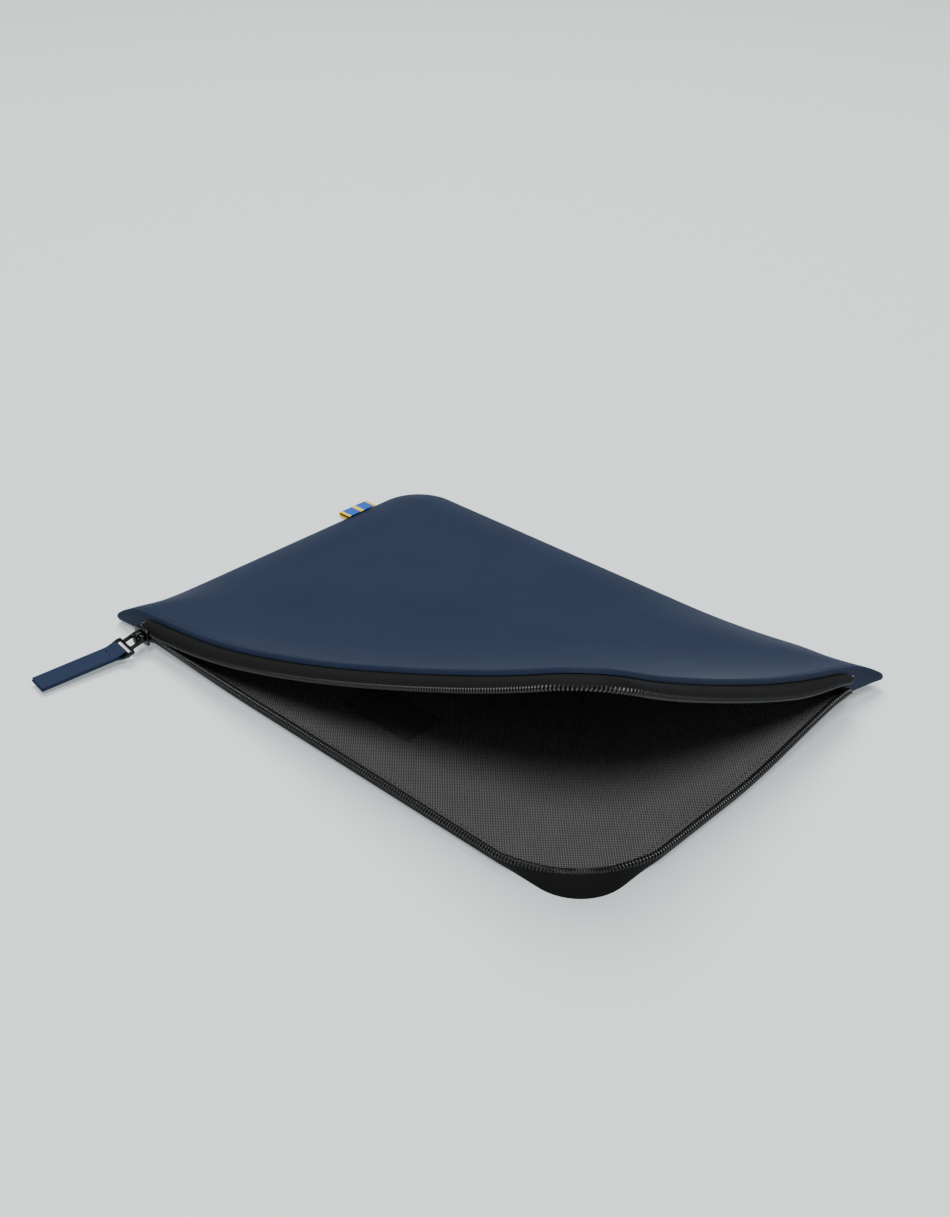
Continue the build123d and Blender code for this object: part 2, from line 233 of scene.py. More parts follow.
def joined(parts):
    """One bmesh from several, which are used up."""
    whole = bmesh.new()
    for bm in parts:
        part = bpy.data.meshes.new("part")
        bm.to_mesh(part)
        bm.free()
        whole.from_mesh(part)
        bpy.data.meshes.remove(part)
    return whole


# %% Flat grids
def steps_between(low, high, count):
    return [low + (high - low) * i / count for i in range(count + 1)]


def grid(columns, rows):
    """A flat grid with a vertex at every column and row place."""
    bm = bmesh.new()
    bmesh.ops.create_grid(bm, x_segments=len(columns) - 1, y_segments=len(rows) - 1, size=0.5)
    for vertex in bm.verts:
        i = round((vertex.co.x + 0.5) * (len(columns) - 1))
        j = round((vertex.co.y + 0.5) * (len(rows) - 1))
        vertex.co = (columns[i], rows[j], 0)
    return bm


def keep_flat_places(bm):
    """Stores the flat coordinates as the UV map, in metres."""
    layer = bm.loops.layers.uv.new("flat")
    for face in bm.faces:
        for loop in face.loops:
            loop[layer].uv = loop.vert.co.xy
    return bm


def thicken(bm):
    """Extrudes the whole flat region by one unit, which marks the underside."""
    made = bmesh.ops.extrude_face_region(bm, geom=bm.faces[:])
    for item in made["geom"]:
        if isinstance(item, bmesh.types.BMVert):
            item.co.z = -1
    return bm


def cut(bm, distance, keep_front):
    """Cuts the flat grid along a line parallel to the folds and keeps one side of it."""
    bmesh.ops.bisect_plane(
        bm, geom=bm.verts[:] + bm.edges[:] + bm.faces[:], plane_co=ACROSS * distance,
        plane_no=ACROSS, clear_inner=keep_front, clear_outer=not keep_front,
    )
    return bm


# %% [markdown]
# ## Shader maths in plain Python
# A material here is a handful of formulas over a place on the cloth. Wrapping a socket in a
# small class lets the formulas be written with plus and times instead of node by node.
# %% Formulas on sockets
class Wire:
    def __init__(self, tree, socket):
        self.tree, self.socket = tree, socket

    def maths(self, operation, *values):
        node = self.tree.nodes.new("ShaderNodeMath")
        node.operation = operation
        for place, value in zip(node.inputs, values):
            connect(self.tree, value, place)
        return Wire(self.tree, node.outputs[0])

    def __add__(self, other): return self.maths("ADD", self, other)
    def __radd__(self, other): return self.maths("ADD", other, self)
    def __sub__(self, other): return self.maths("SUBTRACT", self, other)
    def __rsub__(self, other): return self.maths("SUBTRACT", other, self)
    def __mul__(self, other): return self.maths("MULTIPLY", self, other)
    def __rmul__(self, other): return self.maths("MULTIPLY", other, self)
    def sine(self): return self.maths("SINE", self)
    def absolute(self): return self.maths("ABSOLUTE", self)
    def above(self, limit): return self.maths("GREATER_THAN", self, limit)


def connect(tree, value, socket):
    if isinstance(value, Wire):
        tree.links.new(value.socket, socket)
    else:
        socket.default_value = value


def add_node(tree, kind, settings=None, output=0, **inputs):
    """One node of any kind: its settings first, then the values or links of its sockets."""
    node = tree.nodes.new(kind)
    for key, value in (settings or {}).items():
        setattr(node, key, value)
    for key, value in inputs.items():
        connect(tree, value, node.inputs[key.replace("_", " ")])
    return Wire(tree, node.outputs[output])


# %% Materials and patterns
def material(name, colour, roughness, metallic=0.0, specular=0.5):
    """A principled material with fixed values, and its tree and shader for what varies."""
    mat = bpy.data.materials.new(name)
    mat.use_nodes = True
    shader = mat.node_tree.nodes["Principled BSDF"]
    shader.inputs["Base Color"].default_value = (*colour, 1)
    shader.inputs["Roughness"].default_value = roughness
    shader.inputs["Metallic"].default_value = metallic
    shader.inputs["Specular IOR Level"].default_value = specular
    return mat, mat.node_tree, shader


def object_place(tree):
    return add_node(tree, "ShaderNodeTexCoord", output=3)


def flat_place(tree):
    """The two flat coordinates of a cloth, in metres."""
    uv = add_node(tree, "ShaderNodeUVMap", {"uv_map": "flat"})
    x, y = (add_node(tree, "ShaderNodeSeparateXYZ", output=axis, Vector=uv) for axis in (0, 1))
    return uv, x, y


def noise(tree, place, scale, detail=3.0, roughness=0.55):
    inputs = {"Vector": place, "Scale": scale, "Detail": detail, "Roughness": roughness}
    return add_node(tree, "ShaderNodeTexNoise", **inputs)


def tint(tree, factor, dark, light):
    mix = tree.nodes.new("ShaderNodeMix")
    mix.data_type = "RGBA"
    connect(tree, factor, mix.inputs[0])
    mix.inputs[6].default_value, mix.inputs[7].default_value = (*dark, 1), (*light, 1)
    return Wire(tree, mix.outputs[2])


def bump(tree, shader, height, distance, strength=1.0):
    normal = add_node(tree, "ShaderNodeBump", Height=height, Distance=distance, Strength=strength)
    connect(tree, normal, shader.inputs["Normal"])


# %% [markdown]
# ## Finishes
# The outer fabric is a matte coated cloth: a fine pebbled grain, a slight unevenness in tone
# and a dull sheen. An image could hold the grain, but noise and small cells need no file and
# show no seam. They read the object's own coordinates, so they hold still.
# %% Navy coated fabric
GRAIN_DEPTH = 0.05 * MM


def coated_fabric(name, dark, light, grain=2600.0):
    mat, tree, shader = material(name, light, 0.62, specular=0.08)
    place = object_place(tree)
    fine = noise(tree, place, grain, 4.0, 0.6)
    cells = add_node(
        tree, "ShaderNodeTexVoronoi", {"feature": "F1"}, Vector=place, Scale=grain * 0.45,
    )
    cloud = noise(tree, place, 30.0, 2.0)
    tone = cloud * 0.55 + fine * 0.45
    connect(tree, tint(tree, tone, dark, light), shader.inputs["Base Color"])
    connect(tree, fine * 0.2 + 0.52, shader.inputs["Roughness"])
    bump(tree, shader, fine * 0.6 + cells * 0.6, GRAIN_DEPTH)
    return mat


NAVY = coated_fabric("navy_coated_fabric", (0.0092, 0.0154, 0.0340), (0.0152, 0.0240, 0.0507))
STRAP_NAVY = coated_fabric(
    "navy_strap_leather", (0.010, 0.018, 0.042), (0.0165, 0.027, 0.058), 2200.0,
)
print("outer finishes:", NAVY.name, STRAP_NAVY.name)

# %% [markdown]
# The lining is a coarse charcoal canvas, and its beads of thread show. Modelled threads would
# take millions of faces, so two crossed waves over the cloth's flat coordinates make the over
# and under of the weave. The label and the zip tape are the same weave with finer threads.
# %% Charcoal canvas, label and tape
THREAD = 1.65 * MM


def canvas(name, dark, light, thread=THREAD, depth=0.35 * MM, roughness=0.85, specular=0.1):
    mat, tree, shader = material(name, light, roughness, specular=specular)
    uv, x, y = flat_place(tree)
    wobble = noise(tree, uv, 180.0, 3.0) * 2.2
    warp = (x * (2 * pi / thread) + wobble).sine()
    weft = (y * (2 * pi / thread) + wobble).sine()
    weave = warp * weft * 0.5 + 0.5
    fuzz = noise(tree, uv, 5200.0, 2.0)
    patch = noise(tree, uv, 45.0, 2.0)
    tone = weave * 0.85 + fuzz * 0.2 + patch * 0.1 - 0.1
    connect(tree, tint(tree, tone, dark, light), shader.inputs["Base Color"])
    connect(tree, fuzz * 0.2 + (roughness - 0.1), shader.inputs["Roughness"])
    bump(tree, shader, weave + fuzz * 0.5, depth)
    return mat


LINING = canvas("charcoal_canvas", (0.005, 0.005, 0.0052), (0.235, 0.235, 0.239))
LABEL_CLOTH = canvas(
    "black_label_weave", (0.035, 0.035, 0.036), (0.12, 0.12, 0.124), 0.45 * MM, 0.05 * MM, 0.6,
)
TAPE = canvas(
    "black_zip_tape", (0.004, 0.004, 0.0042), (0.0145, 0.0145, 0.015), 0.42 * MM, 0.05 * MM,
    0.6, 0.04,
)
print("woven finishes:", LINING.name, LABEL_CLOTH.name, TAPE.name)

# %% [markdown]
# Coil, threads, ribbon and metal are simpler. The coil is glossy nylon, the metal is a dark
# plating with faint brushing, and the ribbon is ribbed with two yellow stripes.
# %% Small finishes
MIDDLE_STRIPE, EDGE_STRIPE = 1.5 * MM, 9.6 * MM  # distances from the ribbon's middle
RIB = 0.5 * MM


def nylon():
    mat, tree, shader = material("black_nylon", (0.013, 0.013, 0.014), 0.35, specular=0.6)
    grain = noise(tree, object_place(tree), 900.0)
    connect(tree, grain * 0.2 + 0.28, shader.inputs["Roughness"])
    return mat


def plated_metal():
    mat, tree, shader = material("gunmetal_plating", (0.03, 0.03, 0.032), 0.32, metallic=1.0)
    place = object_place(tree)
    brushed = noise(tree, place, 700.0, 4.0)
    wear = noise(tree, place, 160.0, 3.0)
    plating = tint(tree, wear, (0.018, 0.018, 0.019), (0.05, 0.05, 0.052))
    connect(tree, plating, shader.inputs["Base Color"])
    connect(tree, brushed * 0.25 + 0.2, shader.inputs["Roughness"])
    bump(tree, shader, brushed, 0.01 * MM)
    return mat


def thread_finish(name, dark, light):
    mat, tree, shader = material(name, light, 0.7, specular=0.3)
    strands = noise(tree, object_place(tree), 3500.0, 2.0)
    connect(tree, tint(tree, strands, dark, light), shader.inputs["Base Color"])
    return mat


def striped_ribbon():
    mat, tree, shader = material("blue_ribbon", (0.02, 0.12, 0.5), 0.6, specular=0.3)
    _, x, y = flat_place(tree)
    middle = 1 - y.absolute().above(MIDDLE_STRIPE)
    stripe = middle + y.absolute().above(EDGE_STRIPE)
    rib = (x * (2 * pi / RIB)).sine()
    colours = tint(tree, stripe, (0.012, 0.085, 0.38), (0.80, 0.52, 0.02))
    connect(tree, colours, shader.inputs["Base Color"])
    bump(tree, shader, rib, 0.05 * MM)
    return mat


NYLON = nylon()
METAL = plated_metal()
NAVY_THREAD = thread_finish("navy_thread", (0.004, 0.006, 0.012), (0.012, 0.018, 0.036))
GREY_THREAD = thread_finish("grey_thread", (0.03, 0.03, 0.032), (0.09, 0.09, 0.095))
BLACK_THREAD = thread_finish("black_thread", (0.008, 0.008, 0.008), (0.03, 0.03, 0.03))
RIBBON = striped_ribbon()
print("small finishes:", NYLON.name, METAL.name, RIBBON.name, "and three threads")

# %% [markdown]
# ## The panels
# Each panel is foam between an outer fabric and a lining, with a softly rounded rim. A scaled
# box with a bevel would be quick, but its faces would not follow the bend. So a panel is a grid
# whose outer rows lie close together, which lets the rim be rounded, and each corner square of
# the grid is pulled onto a quarter circle. The top panel crosses three joints, and a piece may
# bend over only one, so it is cut into three along lines between them.
# %% Panel grid
RIM_STEPS = [e * MM for e in (0, 0.3, 0.8, 1.4, 2.1, 2.6, 3.1, 3.8, 5.4, 7.5)]
SEAM_INSET = 2.6 * MM  # the row of stitches along the rim
GROOVE, GROOVE_HALF = 0.32 * MM, 1.2 * MM  # depth and half width of the groove they pull
RIM_R = 1.3 * MM
CELL = 4.2 * MM


def places(half):
    """Grid lines from edge to edge, close together near the edges."""
    inner = half - RIM_STEPS[-1]
    count = round(2 * inner / CELL)
    middle = [-inner + 2 * inner * i / count for i in range(1, count)]
    return [-half + e for e in RIM_STEPS] + middle + [half - e for e in reversed(RIM_STEPS)]


def round_corners(bm):
    """Pulls the square corners of the grid onto their arcs."""
    for vertex in bm.verts:
        for side_x, side_y, radius in CORNERS:
            u = (side_x * vertex.co.x - (HALF_L - radius)) / radius
            v = (side_y * vertex.co.y - (HALF_W - radius)) / radius
            if u > 0 and v > 0:
                vertex.co.x = side_x * (HALF_L - radius + radius * u * sqrt(1 - v * v / 2))
                vertex.co.y = side_y * (HALF_W - radius + radius * v * sqrt(1 - u * u / 2))
                break


def panel_grid(inset=0.0):
    bm = grid(places(HALF_L), places(HALF_W))
    round_corners(bm)
    bmesh.ops.scale(bm, vec=(1 - inset / HALF_L, 1 - inset / HALF_W, 1), verts=bm.verts)
    return keep_flat_places(bm)


def rim_drop(x, y):
    """How far the rounded rim, and the groove that its stitches pull, fall below the face."""
    e = edge_distance(x, y)
    groove = GROOVE * max(1 - abs(e - SEAM_INSET) / GROOVE_HALF, 0)
    return RIM_R - sqrt(RIM_R**2 - (RIM_R - e) ** 2) if e < RIM_R else groove


# %% Body crossings
CUTS = (66 * MM, 112 * MM)
SPANS = {  # piece: (from, to, bodies, (blend start, blend end)), as distances across the folds
    "rear": (None, CUTS[0], ("sleeve", "flap_mid"), (FOLD_AT - 4 * MM, 60 * MM)),
    "front": (*CUTS, ("flap_mid", "flap_front"), (FOLD_BACK_AT - 6 * MM, FOLD_BACK_AT + 26 * MM)),
    "tip": (CUTS[1], None, ("flap_front", "flap_tip"), (CURL_AT - 8 * MM, CURL_AT + 40 * MM)),
}


def blend_across(obj):
    """Bakes the piece's transform into its mesh; the piece stays where it is made."""
    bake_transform(obj)


def spans_of(make):
    """Makes a soft piece of the top panel three times, once for each crossing."""
    made = []
    for span, (start, end, _, _) in SPANS.items():
        obj = make(span, start, end)
        blend_across(obj)
        made.append(obj)
    return made


def cut_to_span(bm, start, end):
    if start is not None:
        cut(bm, start, keep_front=True)
    if end is not None:
        cut(bm, end, keep_front=False)
    return bm


# %% Top panel: outer shell and lining
def top_shell(span, start, end):
    bm = thicken(cut_to_span(panel_grid(), start, end))
    for vertex in bm.verts:
        x, y, under = vertex.co
        h = (-SHELL_T if under < -0.5 else -rim_drop(x, y)) * pressed(x, y)
        vertex.co = lifted(x, y, h)
    obj = make_piece(f"top_panel_{span}", bm, NAVY)
    return obj


def top_lining(span, start, end):
    bm = thicken(cut_to_span(panel_grid(inset=1.2 * MM), start, end))
    area = sum(face.calc_area() for face in bm.faces if face.normal.z > 0.5)
    ways = [[vertex.co.dot(way) for vertex in bm.verts] for way in (ALONG, ACROSS)]
    along, across = (max(distances) - min(distances) for distances in ways)
    for vertex in bm.verts:
        x, y, under = vertex.co
        h = -SHELL_T - (LINING_T if under < -0.5 else HAIR)
        vertex.co = lifted(x, y, h * pressed(x, y))
    obj = make_piece(f"top_lining_cloth_{span}", bm, LINING)
    "top_panel_" + span
    return obj


top_pieces = spans_of(top_shell) + spans_of(top_lining)
print("top panel in", len(top_pieces), "soft pieces")

# %% Bottom panel: outer shell and lining
def bottom_shell():
    bm = thicken(panel_grid())
    for vertex in bm.verts:
        x, y, under = vertex.co
        z = SHELL_T if under > -0.5 else rim_drop(x, y)
        vertex.co = laid(x, y, z * pressed(x, y))
    return make_piece("bottom_panel", bm, NAVY, "sleeve")


def bottom_lining():
    bm = thicken(panel_grid(inset=0.2 * MM))
    for vertex in bm.verts:
        x, y, under = vertex.co
        z = SHELL_T + (LINING_T if under > -0.5 else HAIR)
        vertex.co = laid(x, y, z * pressed(x, y))
    return make_piece("bottom_lining_cloth", bm, LINING, "sleeve")


bottom_panel = bottom_shell()
bottom_cloth = bottom_lining()
print("bottom panel and its lining:", len(bottom_panel.data.polygons), "faces in the panel")

# %% [markdown]
# ## The zip
# The zip follows the outline along the long side, round the front corner and up the short
# side. A curve with a flat profile could make a tape, but its width would not change along the
# way. So a tape is a grid in distance along the zip and distance across the tape. On the lower
# panel the tape flares outwards, but at the corner it has to be shorter at its free edge, so
# it leans inwards there.
# %% Zip line
ZIP_START = -HALF_L + 30 * MM
ZIP_END_GAP = 29 * MM  # from the zip's end to the far corner
LEAN_REACH = (4 * MM, 44 * MM)  # the lean fades between these distances from the mid corner
ROUNDED_ENDS = (5 * MM, 6 * MM)
NARROWED = 60 * MM  # the tapes narrow over this distance towards the far end
END_WIDTH, FAR_LOSS = 0.1, 0.3  # share left at the very ends, and lost towards the far end
STRAIGHT = HALF_L - FRONT_R - ZIP_START
TURN = FRONT_R * pi / 2
ZIP_LENGTH = STRAIGHT + TURN + 2 * HALF_W - FRONT_R - ZIP_END_GAP


def zip_line(t, out):
    """Flat place at distance t along the zip and out beyond the panel's edge."""
    if t < STRAIGHT:
        return ZIP_START + t, -HALF_W - out
    if t < STRAIGHT + TURN:
        turn = (t - STRAIGHT) / FRONT_R
        reach = FRONT_R + out
        return HALF_L - FRONT_R + reach * sin(turn), -HALF_W + FRONT_R - reach * cos(turn)
    return HALF_L + out, -HALF_W + FRONT_R + (t - STRAIGHT - TURN)


def lean(t):
    """0 on the straights, 1 in the middle of the turn."""
    off = abs(t - STRAIGHT - TURN / 2)
    return 1 - smooth(off, *LEAN_REACH)


def rounded_end(distance, reach):
    """0 at the end of the zip and 1 from reach on, like a quarter of a circle."""
    t = min(max(distance / reach, 0), 1)
    return sqrt(1 - (1 - t) ** 2)


def end_share(t):
    """0 at either end of the zip and 1 a few millimetres in."""
    return rounded_end(t, ROUNDED_ENDS[0]) * rounded_end(ZIP_LENGTH - t, ROUNDED_ENDS[1])


def squeeze(t):
    """The tapes narrow at the zip's ends, where they are sewn in between the panels."""
    far = smooth(t, ZIP_LENGTH - NARROWED, ZIP_LENGTH)
    return (END_WIDTH + (1 - END_WIDTH) * end_share(t)) * (1 - FAR_LOSS * far)


# %% Sections of the tapes
FOOT_OUT, FOOT_Z = 0.35 * MM, 0.25 * MM  # where the lower tape is sewn on
BELLY, CORNER_BELLY = 1.8 * MM, 4.6 * MM  # height of its middle on the straights and the corner
CORNER_OUT, CORNER_IN = 0.3 * MM, 5.5 * MM  # its middle and its free edge at the corner
CORNER_RISE = 0.8 * MM
FOOT_LIFT, TOP_DROP = 3 * MM, 4 * MM  # the sewn edges meet halfway up at the zip's ends
SEWN_IN = 2.5 * MM  # the upper tape starts this far under the panel
SHADOW_GAP = 0.8 * MM  # the upper tape is sewn on a little below the panel's rim
SLIDER_TOP = 2 * MM  # the upper tape's free edge runs this far above the slider's middle
SLIDER_ROOM = (6 * MM, 50 * MM)  # past the slider, the upper tape regains its full drop
FREE_EDGE = 0.6 * MM  # least width that is left of a tape at its ends
END_OUT = 0.3  # share of the way out that a tape still goes at its ends
LOWER_MIDDLE, UPPER_MIDDLE = 0.62, 0.95  # the middles' way out, as a share of the free edge's
UNDER_RIM = 0.9  # depth at which the upper tape is sewn on, as a share of the rim's thickness


def curve_point(points, v):
    """Quadratic curve through a cross-section's three control points."""
    a, b, c = ((1 - v) ** 2, 2 * v * (1 - v), v * v)
    return tuple(a * p + b * q + c * r for p, q, r in zip(*points))


def lower_section(t):
    """(out, z) control points of the lower tape, sewn to the foot of the panel's edge."""
    q, k = squeeze(t), lean(t)
    edge = zip_line(t, 0)
    out = (COIL_OUT * (1 - k) - CORNER_IN * k) * (END_OUT + (1 - END_OUT) * q)
    foot = FOOT_Z + FOOT_LIFT * (1 - end_share(t))
    top = max((COIL_Z - near_rise(*edge)) * q + CORNER_RISE * k, foot + FREE_EDGE)
    middle = (out * LOWER_MIDDLE * (1 - k) + CORNER_OUT * k, BELLY * (1 - k) + CORNER_BELLY * k)
    return (FOOT_OUT, foot), (middle[0], foot + middle[1] * q), (out, top)


def upper_section(t):
    """(out, h) control points of the upper tape, h measured from the panel's top face."""
    q = squeeze(t)
    x, y = zip_line(t, 0)
    above_slider = min(lifted(x, y, 0).z - SLIDER.z - SLIDER_TOP, DROP)
    past_slider = smooth(x, SLIDER.x + SLIDER_ROOM[0], SLIDER.x + SLIDER_ROOM[1])
    coil = above_slider + (DROP - above_slider) * past_slider
    top = SHELL_T * pressed(x, y) * UNDER_RIM + SHADOW_GAP + TOP_DROP * (1 - end_share(t))
    out = COIL_OUT * (END_OUT + (1 - END_OUT) * q)
    low = max(coil * q, top + FREE_EDGE)
    return (-SEWN_IN, -top), (out * UPPER_MIDDLE, -top), (out, -low)


# %% Tapes
TAPE_T, TAPE_WIDTH = 0.5 * MM, 9 * MM
TAPE_CELL = 3 * MM
DIRECTION_STEP = 0.02  # share of the width over which the cloth's direction is measured
TAPE_ROWS = steps_between(0, 1, 10)
END_STEPS = [e * MM for e in (0.15, 0.5, 1, 1.7, 2.6, 3.8)]


def tape_grid(first, last):
    """An even grid with closer columns at the rounded ends of the zip, and its thickness."""
    count = round((last - first) / TAPE_CELL)
    columns = steps_between(first, last, count)
    if first == 0:
        columns += END_STEPS
    if last == ZIP_LENGTH:
        columns += [ZIP_LENGTH - e for e in END_STEPS]
    bm = keep_flat_places(grid(sorted(columns), TAPE_ROWS))
    layer = bm.loops.layers.uv["flat"]
    for face in bm.faces:
        for loop in face.loops:
            loop[layer].uv.y *= TAPE_WIDTH
    return thicken(bm)


def tape_vertex(section, co):
    """Place of a tape vertex in its section, pushed aside by the cloth's thickness."""
    t, v, under = co
    points = section(t)
    out, z = curve_point(points, v)
    ahead = curve_point(points, min(v + DIRECTION_STEP, 1))
    behind = curve_point(points, max(v - DIRECTION_STEP, 0))
    d_out, d_z = ahead[0] - behind[0], ahead[1] - behind[1]
    size = hypot(d_out, d_z) or 1.0
    shift = -TAPE_T / 2 if under < -0.5 else TAPE_T / 2
    return out - d_z / size * shift, z + d_out / size * shift


def place_lower(t, out, z):
    """Place of a point of the lower half of the zip, which rises with the edge it is sewn to."""
    x, y = zip_line(t, out)
    return Vector((x, y, z + bottom_rise(*zip_line(t, 0))))


def place_upper(t, out, h):
    return lifted(*zip_line(t, out), h)


def lower_tape():
    bm = tape_grid(0, ZIP_LENGTH)
    for vertex in bm.verts:
        vertex.co = place_lower(vertex.co.x, *tape_vertex(lower_section, vertex.co))
    return make_piece("lower_tape_cloth", bm, TAPE, "sleeve")


def span_limits():
    """Where the lines between the spans cross the zip, on the long side and the short side."""
    limits = []
    for distance in CUTS:
        x = (distance + HALF_W * ACROSS.y) / ACROSS.x
        y = (distance - HALF_L * ACROSS.x) / ACROSS.y
        limits.append((x - ZIP_START, STRAIGHT + TURN + y + HALF_W - FRONT_R))
    (a, d), (b, c) = limits
    return {"rear": ((0, a), (d, ZIP_LENGTH)), "front": ((a, b), (c, d)), "tip": ((b, c),)}


ZIP_SPANS = span_limits()


def upper_tape(span, _start, _end):
    parts = [tape_grid(first, last) for first, last in ZIP_SPANS[span]]
    for bm in parts:
        for vertex in bm.verts:
            vertex.co = place_upper(vertex.co.x, *tape_vertex(upper_section, vertex.co))
    return make_piece(f"upper_tape_{span}", joined(parts), TAPE)


tape_low = lower_tape()
tapes_up = spans_of(upper_tape)
print("zip line", round(ZIP_LENGTH / MM), "mm long, tapes", TAPE_WIDTH / MM, "mm wide")

# %% [markdown]
# Past each end of the zip the two panels are sewn to each other, which leaves a pointed ear.
# Its side is a narrow strip of the outer fabric from the lower rim up to the upper one. The two
# rims could be bridged face by face, but a strip of its own can bulge a little, as cloth does.
# %% Ears
EAR_LAP = 8 * MM  # it goes on behind the end of the tapes
EAR_FACE, EAR_BACK = 0.1 * MM, 0.8 * MM  # its two sides, inside the panel's outline
EAR_BULGE = 0.5 * MM
EAR_LAPPED = 0.45  # share of a rim's thickness that it reaches into the rim


def ear_side(name, edge, length):
    bm = thicken(keep_flat_places(grid(steps_between(0, length, 24), steps_between(0, 1, 8))))
    for vertex in bm.verts:
        s, v, under = vertex.co
        inward = (EAR_BACK if under < -0.5 else EAR_FACE) - EAR_BULGE * 4 * v * (1 - v)
        x, y = edge(s, inward)
        thick = SHELL_T * pressed(x, y)
        low, high = laid(x, y, thick * EAR_LAPPED), lifted(x, y, -thick * EAR_LAPPED)
        vertex.co = low.lerp(high, v)
    return make_piece(name, bm, NAVY)


def corner_walk(s, inward):
    """Distance along and inset from the edge, seen from a square corner whose point is rounded."""
    turn = END_R * pi / 2
    if s < turn:
        reach = END_R - inward
        return END_R - reach * cos(s / END_R), END_R - reach * sin(s / END_R)
    return END_R + s - turn, inward


def left_edge(s, inward):
    along, aside = corner_walk(s, inward)
    return -HALF_L + along, -HALF_W + aside


def right_edge(s, inward):
    along, aside = corner_walk(s, inward)
    return HALF_L - aside, HALF_W - along


EAR_TURN = END_R * (pi / 2 - 1)
left_ear = ear_side("left_ear_side", left_edge, ZIP_START + HALF_L + EAR_TURN + EAR_LAP)
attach(left_ear, "sleeve")
right_ear = ear_side("right_ear_side", right_edge, ZIP_END_GAP + EAR_TURN + EAR_LAP)
blend_across(right_ear)
print("ears reach", EAR_LAP / MM, "mm behind the tapes")

# %% [markdown]
# The coil is one nylon wire wound into hundreds of flat turns, sewn along the tape's edge. An
# array of rings would be quicker, but rings don't join up. So a narrow grid becomes the wire:
# one direction runs along the helix and the other round it.
# %% Coils
PITCH = 1.64 * MM
WIRE_R = 0.42 * MM
COIL_FLATNESS = 1.15
COIL_ASIDE = 1.3 * MM
COIL_PROUD = 0.25  # share of its radius that it stands past the tape's free edge
TURN_STEPS = 9
WIRE_SIDES = 5


def coil_grid(first, last):
    turns = round((last - first) / PITCH)
    along = steps_between(first, last, turns * TURN_STEPS)
    return grid(along, steps_between(0, 2 * pi, WIRE_SIDES))


def coil_place(centre, phase, t, angle):
    """Place (along, out, up) of a point of the helical wire."""
    turn = 2 * pi * (t / PITCH) + phase
    r = WIRE_R * cos(angle)
    out = COIL_R * COIL_FLATNESS * cos(turn) + r * cos(turn)
    up = COIL_R * sin(turn) + r * sin(turn)
    return t + WIRE_R * sin(angle), centre[0] + out, centre[1] + up


def wind(bm, centre_of, phase, put):
    for vertex in bm.verts:
        t, angle, _ = vertex.co
        vertex.co = put(*coil_place(centre_of(t), phase, t, angle))
    bmesh.ops.remove_doubles(bm, verts=bm.verts, dist=0.002 * MM)
    return bm


def lower_coil_centre(t):
    """The coil is sewn on the inner side of its tape and stands proud of the tape's edge."""
    out, z = lower_section(t)[2]
    return out - COIL_ASIDE, z + COIL_PROUD * COIL_R


def upper_coil_centre(t):
    out, h = upper_section(t)[2]
    return out - COIL_ASIDE, h - COIL_PROUD * COIL_R


def lower_coil():
    bm = wind(coil_grid(0, ZIP_LENGTH), lower_coil_centre, 0.0, place_lower)
    return make_piece("lower_coil_wire", bm, NYLON, "sleeve")


def upper_coil(span, _start, _end):
    parts = [
        wind(coil_grid(first, last), upper_coil_centre, pi, place_upper)
        for first, last in ZIP_SPANS[span]
    ]
    return make_piece(f"upper_coil_{span}", joined(parts), NYLON)


coil_low = lower_coil()
coils_up = spans_of(upper_coil)
print("lower coil has", round(ZIP_LENGTH / PITCH), "turns")

# %% [markdown]
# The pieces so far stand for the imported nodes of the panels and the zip. The closed edges and
# the zip's stops are part of the bottom panel and of the lower tape here.
# %% Replaced nodes
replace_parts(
    bottom_panel,
    "bottom_outer_panel", "bottom_foam", "left_edge_wall", "back_edge_wall", "corner_edge_wall",
)
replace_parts(bottom_cloth, "bottom_lining")
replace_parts(left_ear, "left_corner_tab")
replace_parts(right_ear, "right_corner_tab")
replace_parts(top_pieces[0], "top_outer_rear", "top_foam_rear", "top_outer_mid", "top_foam_mid")
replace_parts(top_pieces[1], "top_outer_front", "top_foam_front")
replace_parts(top_pieces[2], "top_outer_tip", "top_foam_tip")
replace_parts(top_pieces[3], "top_lining_rear", "top_lining_mid")
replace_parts(top_pieces[4], "top_lining_front")
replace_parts(top_pieces[5], "top_lining_tip")
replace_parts(tape_low, "lower_zip_tape")
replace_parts(coil_low, "lower_zip_coil")
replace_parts(tapes_up[0], "upper_zip_tape_rear", "upper_zip_tape_mid")
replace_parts(tapes_up[1], "upper_zip_tape_front")
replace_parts(tapes_up[2], "upper_zip_tape_tip")
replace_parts(coils_up[0], "upper_zip_coil_rear", "upper_zip_coil_mid")
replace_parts(coils_up[1], "upper_zip_coil_front")
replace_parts(coils_up[2], "upper_zip_coil_tip")
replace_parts(tape_low, "zip_start_stop", "zip_end_stop")

# %% [markdown]
# ## Stitching
# A row of stitches is many short threads that dip into the cloth at their ends. A dashed
# pattern in a material would lie flat, so each stitch is a small stretched ball, half sunk.
# One row holds the lip of the top panel, another the edge of the lining, and a frame of them
# the label.
# %% Stitch rows
STITCH = Vector((0.95 * MM, 0.42 * MM, 0.3 * MM))  # half length, half width and half height
AHEAD = 1 * MM


def add_stitch(bm, place, ahead, up):
    """One stitch at a place, along the direction to the point ahead."""
    along = (ahead - place).normalized()
    side = up.cross(along).normalized()
    axes = (along * STITCH.x, side * STITCH.y, side.cross(along) * -STITCH.z)
    matrix = Matrix.Translation(place) @ Matrix(axes).transposed().to_4x4()
    bmesh.ops.create_uvsphere(bm, u_segments=7, v_segments=4, radius=1, matrix=matrix)


